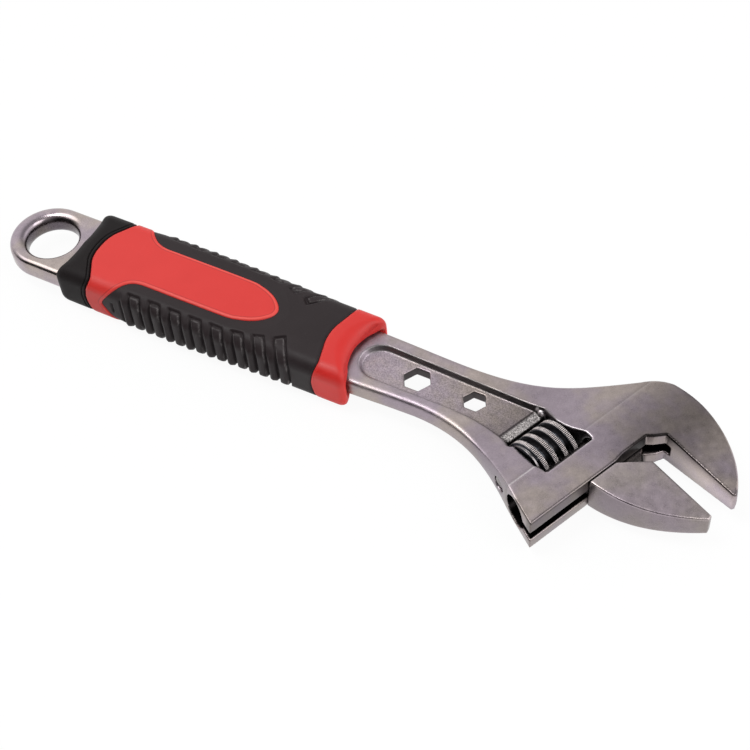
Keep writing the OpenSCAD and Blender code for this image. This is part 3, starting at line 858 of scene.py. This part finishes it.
def node(tree, kind, inputs=None, **settings):
    """A shader node with its settings and its inputs."""
    made = tree.nodes.new("ShaderNode" + kind)
    for key, value in settings.items():
        setattr(made, key, value)
    give(made, inputs or {})
    return made


def joined(operation, values, clamp=False):
    """Numbers joined one after another by Math nodes, in the tree that their sockets are in."""
    tree = next(v.id_data for v in values if isinstance(v, bpy.types.NodeSocket))
    result = values[0]
    for value in values[1:]:
        result = node(tree, "Math", {0: result, 1: value}, operation=operation,
                      use_clamp=clamp).outputs[0]
    return result


def plus(*values, clamp=False):
    return joined("ADD", values, clamp)


def minus(*values):
    return joined("SUBTRACT", values)


def times(*values):
    return joined("MULTIPLY", values)


def mixed(factor, a, b):
    """Colour a turned to colour b by a factor."""
    return node(factor.id_data, "Mix", {0: factor, 6: a, 7: b}, data_type="RGBA").outputs[2]


def scaled(colour, factor):
    """A colour made lighter or darker by a factor."""
    return node(colour.id_data, "VectorMath", {0: colour, "Scale": factor},
                operation="SCALE").outputs[0]


def ramped(value, low, high, to_low=0.0, to_high=1.0):
    """From to_low where the value is low to to_high where it is high, eased at both."""
    return node(value.id_data, "MapRange", {0: value, 1: low, 2: high, 3: to_low, 4: to_high},
                interpolation_type="SMOOTHSTEP").outputs[0]


def coordinates(tree, kind="Object"):
    """The place of each point on its piece, or a ray's direction."""
    return node(tree, "TexCoord").outputs[kind]


def noise(tree, scale, detail=2.0, roughness=0.55):
    """Soft noise over the piece, with so many patches to a metre."""
    return node(tree, "TexNoise", {"Vector": coordinates(tree), "Scale": scale,
                                   "Detail": detail, "Roughness": roughness}).outputs["Fac"]


def mesh_masks(tree, *names):
    """The masks that a mesh carries, by name."""
    return [node(tree, "Attribute", attribute_name=name).outputs["Fac"] for name in names]


def group(name, colours, numbers):
    """A node group with inputs of these names, and the outputs that every finish takes: Color,
    Roughness and the height of its Grain."""
    tree = bpy.data.node_groups.new(name, "ShaderNodeTree")
    for way, kind, keys in (("INPUT", "Color", colours), ("INPUT", "Float", numbers),
                            ("OUTPUT", "Color", ["Color"]),
                            ("OUTPUT", "Float", ["Roughness", "Grain"])):
        for key in keys:
            tree.interface.new_socket(key, in_out=way, socket_type="NodeSocket" + kind)
    return tree, tree.nodes.new("NodeGroupInput").outputs, tree.nodes.new("NodeGroupOutput")


def steel_group():
    """Satin steel: two tones in slow smudges, a fine fleck, lighter edges, partly scuffed and
    partly a painted highlight, and the height of its grain."""
    tree, given, made = group("satin_steel", ["Steel", "Smudge", "Bright"],
                              ["Edge", "Fleck", "Base Roughness"])
    slow, fine = noise(tree, 55.0, 3.0, 0.6), noise(tree, 2600.0, 3.0, 0.7)
    patch = minus(noise(tree, 420.0, 2.0, 0.5), 0.5)
    light = plus(1.0, times(minus(fine, 0.5), given["Fleck"]), times(patch, 0.36))
    tone = mixed(ramped(slow, 0.38, 0.64), given["Steel"], given["Smudge"])
    wear_and_glint = times(given["Edge"], ramped(noise(tree, 900.0), 0.25, 0.6, 0.55, 1.0))
    give(made, {"Color": mixed(wear_and_glint, scaled(tone, light), given["Bright"]),
                "Roughness": plus(given["Base Roughness"], times(patch, 0.18)), "Grain": fine})
    return tree


def moulded_group():
    """Moulded plastic or rubber: a slow change of tone, a dusty bloom, and a fine sparkle
    texture like eroded tool steel."""
    tree, given, made = group("moulded", ["Body", "Bloom"], ["Dust", "Base Roughness"])
    slow, specks = noise(tree, 70.0, 4.0, 0.6), noise(tree, 1500.0, 1.0, 0.5)
    dust = plus(times(given["Dust"], ramped(slow, 0.3, 0.75)),
                ramped(specks, 0.66, 0.8, 0.0, 0.16), clamp=True)
    give(made, {"Color": mixed(dust, given["Body"], given["Bloom"]),
                "Roughness": plus(given["Base Roughness"], ramped(slow, 0.3, 0.7, -0.05, 0.07)),
                "Grain": noise(tree, 3200.0, 2.0, 0.6)})
    return tree


STEEL_GROUP, MOULDED_GROUP = steel_group(), moulded_group()


def material(name, metallic=0.0, specular=0.5):
    """A material with its tree and its main shader."""
    made = bpy.data.materials.new(name)
    made.use_nodes = True
    tree = made.node_tree
    shader = tree.nodes["Principled BSDF"]
    give(shader, {"Metallic": metallic, "Specular IOR Level": specular})
    return made, tree, shader


def with_group(tree, kind, inputs):
    """The outputs of a group placed with its own values."""
    return node(tree, "Group", inputs, node_tree=kind).outputs


def surface(shader, tone, rough, height, strength, distance):
    """Colour, roughness and bump joined to the shader."""
    bump = node(shader.id_data, "Bump",
                {"Height": height, "Strength": strength, "Distance": distance})
    give(shader, {"Base Color": tone, "Roughness": rough, "Normal": bump.outputs[0]})


def forged_steel(name, steel, smudge, roughness=0.3):
    """Satin forging: lighter edges, partly scuffed and partly a painted highlight, grainy
    lighter floors, bright cut ramp, painted shadow in its holes and guides, painted shade on
    the recess's far wall, and painted shading that darkens or lightens its tone."""
    made, tree, shader = material(name, metallic=1.0)
    wear_and_glint, low, ramp, dark, wall, tarnish = mesh_masks(
        tree, "edge", "low", "ramp", "dark", "wall", "tarnish")
    # edges lightened as scuffed and partly as a painted highlight
    edge = ramped(wear_and_glint, 0.15, 0.8, 0.0, 0.75)
    satin = with_group(tree, STEEL_GROUP, {
        "Steel": steel, "Smudge": smudge, "Bright": (0.8, 0.77, 0.77, 1), "Edge": edge,
        "Fleck": 0.65, "Base Roughness": roughness})
    pits = noise(tree, 2700.0, 2.0, 0.7)
    speckle = ramped(pits, 0.32, 0.68, 0.78, 1.3)
    tone = mixed(low, satin["Color"], scaled(satin["Color"], speckle))
    cut = mixed(ramped(noise(tree, 2400.0, 2.0, 0.7), 0.4, 0.62),
                (0.2, 0.185, 0.185, 1), (0.72, 0.67, 0.66, 1))
    # painted shade on the recess's far wall, painted shadow in holes, window and guides
    for mask, colour in ((ramp, cut), (wall, (0.13, 0.12, 0.12, 1)),
                         (dark, (0.06, 0.052, 0.053, 1))):
        tone = mixed(mask, tone, colour)
    # painted shading: tone darkened where shade falls, lightened where light falls
    tone = scaled(tone, minus(1.0, tarnish))
    along = node(tree, "SeparateXYZ", {0: coordinates(tree)}).outputs["X"]
    shank = ramped(along, 0.172, 0.15, 0.0, 1.2 * (roughness - 0.2))
    rough = plus(satin["Roughness"], shank, times(edge, 0.22))
    coarse = times(pits, plus(low, times(ramp, 1.5)))
    height = plus(times(satin["Grain"], 0.35), coarse)
    surface(shader, tone, rough, height, 0.35, 0.00012)
    return made


def plain_steel(name, steel, smudge, bright, fleck, roughness, strength, distance, shading_paint=None):
    """Steel of the worm, the pin and the spring, scuffed bright on the worm's knurled crests,
    with a painted highlight on one flank of its thread."""
    made, tree, shader = material(name, metallic=1.0)
    edge = 0.0
    if shading_paint:
        crest, notch, flank = mesh_masks(tree, "crest", "notch", "flank")
        # crests scuffed bright; a painted highlight on one flank
        edge = plus(times(crest, ramped(notch, 0.15, 0.6, 1.0, 0.04)),
                    times(flank, shading_paint), clamp=True)
    satin = with_group(tree, STEEL_GROUP, {
        "Steel": steel, "Smudge": smudge, "Bright": bright, "Edge": edge, "Fleck": fleck,
        "Base Roughness": roughness})
    surface(shader, *satin, strength, distance)
    return made


def red_plastic():
    """Red moulding: a painted highlight on the sloping border round the tongue, painted shade
    in the fine groove inside it, and a collar painted darker on top and lighter on its sides."""
    made, tree, shader = material("red_plastic", specular=0.42)
    shell = with_group(tree, MOULDED_GROUP, {
        "Body": (0.575, 0.0205, 0.0155, 1), "Bloom": (0.66, 0.04, 0.034, 1), "Dust": 0.25,
        "Base Roughness": 0.46})
    edge, = mesh_masks(tree, "edge")
    along, _, height = node(tree, "SeparateXYZ", {0: coordinates(tree)}).outputs
    # painted highlight on the border's slope, stronger towards the front
    border = times(ramped(edge, 0.0, 0.35), ramped(edge, 1.15, 0.9),
                   ramped(along, 0.033, 0.043, 0.08, 0.4))
    # painted shade in the fine groove inside the border
    groove_shade = times(ramped(edge, 0.9, 1.08), ramped(edge, 1.35, 1.15), 0.55)
    # the collar painted darker on top and lighter on its sides
    front = ramped(along, 0.104, 0.112, 0.0, 0.5)
    collar_shade = mixed(ramped(height, 0.006, 0.002), (0.52, 0.01, 0.008, 1),
                      (0.84, 0.028, 0.022, 1))
    tone = shell["Color"]
    for mask, colour in ((border, (0.86, 0.11, 0.085, 1)), (groove_shade, (0.22, 0.01, 0.012, 1)),
                         (front, collar_shade)):
        tone = mixed(mask, tone, colour)
    surface(shader, tone, shell["Roughness"], shell["Grain"], 0.22, 0.00008)
    return made


def black_rubber(name, body, bloom, specular):
    """Black soft moulding, with a painted highlight in pale patches along the pads' rims."""
    made, tree, shader = material(name, specular=specular)
    shell = with_group(tree, MOULDED_GROUP, {"Body": body, "Bloom": bloom, "Dust": 0.2,
                                             "Base Roughness": 0.5})
    rim, = mesh_masks(tree, "rim")
    # painted highlight in pale patches along the pads' rims
    shading_paint = times(rim, ramped(noise(tree, 700.0), 0.35, 0.65, 0.1, 0.85))
    tone = mixed(shading_paint, shell["Color"], (0.2, 0.185, 0.185, 1))
    surface(shader, tone, shell["Roughness"], shell["Grain"], 0.3, 0.0001)
    return made


STEEL, SMUDGE = (0.37, 0.311, 0.355, 1), (0.413, 0.353, 0.33, 1)
FINISHES = (
    (forged_steel("forged_steel", STEEL, SMUDGE), [head]),
    (forged_steel("polished_steel", STEEL, SMUDGE, 0.2), [ring]),
    (forged_steel("jaw_steel", (0.45, 0.38, 0.42, 1), (0.46, 0.4, 0.385, 1)), [jaw]),
    (plain_steel("worm_steel", (0.07, 0.077, 0.09, 1), (0.085, 0.084, 0.088, 1),
                 (0.74, 0.66, 0.64, 1), 0.4, 0.33, 0.25, 0.00006, shading_paint=0.42), [worm]),
    (plain_steel("bright_steel", (0.3, 0.28, 0.28, 1), (0.24, 0.22, 0.21, 1),
                 (0.6, 0.58, 0.56, 1), 0.3, 0.3, 0.2, 0.00005), [pin, spring]),
    (red_plastic(), [core]),
    (black_rubber("black_rubber", (0.017, 0.0112, 0.0122, 1), (0.042, 0.033, 0.036, 1), 0.22),
     [sleeve]),
    (black_rubber("band_rubber", (0.008, 0.0058, 0.006, 1), (0.024, 0.019, 0.02, 1), 0.13),
     [band]))
for made, objects in FINISHES:
    for obj in objects:
        obj.data.materials.append(made)

# ---- camera, light and floor ----

scene = bpy.context.scene
AIM = Vector((123.625, -2.92, 0)) * MM
AZIMUTH, ELEVATION, ROLL = radians(32.89), radians(50.68), radians(-5.478)
DISTANCE, FOCAL, SENSOR = 0.46068, 73.06, 36
FLOOR_Z, FLOOR_HALF, FLOOR_GLOW = -8.65 * MM, 4, 0.94
lens = bpy.data.cameras.new("camera")
lens.lens, lens.sensor_width = FOCAL, SENSOR
lens.clip_start, lens.clip_end = 0.01, 20
camera = bpy.data.objects.new("camera", lens)
camera.matrix_world = (
    Matrix.Translation(AIM) @ Matrix.Rotation(AZIMUTH, 4, "Z")
    @ Matrix.Rotation(pi / 2 - ELEVATION, 4, "X") @ Matrix.Rotation(ROLL, 4, "Z")
    @ Matrix.Translation((0, 0, DISTANCE)))
scene.collection.objects.link(camera)
scene.camera = camera
scene.view_settings.view_transform = "Standard"


def toward(tree, direction, low, high, to_low, to_high):
    """Light by how far a ray's direction agrees with the one given: their dot product, eased
    from to_low at low to to_high at high."""
    given = {0: coordinates(tree, "Generated"), 1: Vector(direction).normalized()}
    made = node(tree, "VectorMath", given, operation="DOT_PRODUCT")
    return ramped(made.outputs["Value"], low, high, to_low, to_high)


scene.world = world = bpy.data.worlds.new("studio")
world.use_nodes = True
tree = world.node_tree
low_front = toward(tree, (-0.345, -0.914, 0.12), 0.3, 0.9, 1.0, 0.04)
far_right = toward(tree, (0.85, 0.5, 0.1), 0.55, 0.95, 0.0, 1.1)
above = toward(tree, (-1.0, 0.0, 0.0), -0.02, 0.46, 0.46, 1.05)
glint = toward(tree, (-0.5, -0.2, 0.84), 0.92, 0.975, 0.0, 1.9)
studio = plus(times(above, low_front), far_right, glint)
seen = node(tree, "LightPath").outputs["Is Camera Ray"]
strength = node(tree, "Mix", {0: seen, 2: studio, 3: 1.0}).outputs[0]
give(tree.nodes["Background"], {"Strength": strength, "Color": (1, 1, 1, 1)})

floor_mesh = bpy.data.meshes.new("floor")
floor_mesh.from_pydata([(x * FLOOR_HALF, y * FLOOR_HALF, FLOOR_Z) for x, y in (
    (-1, -1), (1, -1), (1, 1), (-1, 1))], [], [(0, 1, 2, 3)])
floor = bpy.data.objects.new("floor", floor_mesh)
scene.collection.objects.link(floor)
paper, tree, shader = material("white_paper", specular=0.0)
give(shader, {"Base Color": (0.88, 0.88, 0.88, 1), "Roughness": 1})
# the paper is white to the camera, and in a mirror or glass
path = node(tree, "LightPath").outputs
seen = joined("MAXIMUM", [path["Is Camera Ray"], path["Is Glossy Ray"],
                          path["Is Transmission Ray"]])
glow = node(tree, "Emission")
shown = node(tree, "MixShader", {0: times(seen, FLOOR_GLOW),
                                 1: shader.outputs[0], 2: glow.outputs[0]})
give(tree.nodes["Material Output"], {"Surface": shown.outputs[0]})
floor_mesh.materials.append(paper)


def lamp(name, place, size, power):
    """A rectangular area lamp turned to the camera's aim."""
    data = bpy.data.lights.new(name, "AREA")
    data.shape, data.size, data.size_y, data.energy = "RECTANGLE", *size, power
    obj = bpy.data.objects.new(name, data)
    place = Vector(place)
    obj.matrix_world = Matrix.Translation(place) @ (
        place - AIM).to_track_quat("Z", "Y").to_matrix().to_4x4()
    scene.collection.objects.link(obj)


lamp("right_lamp", (0.8, -0.05, 0.8), (0.6, 0.6), 3.2)
lamp("top_lamp", (-0.2, -0.14, 0.95), (0.3, 0.4), 2.6)
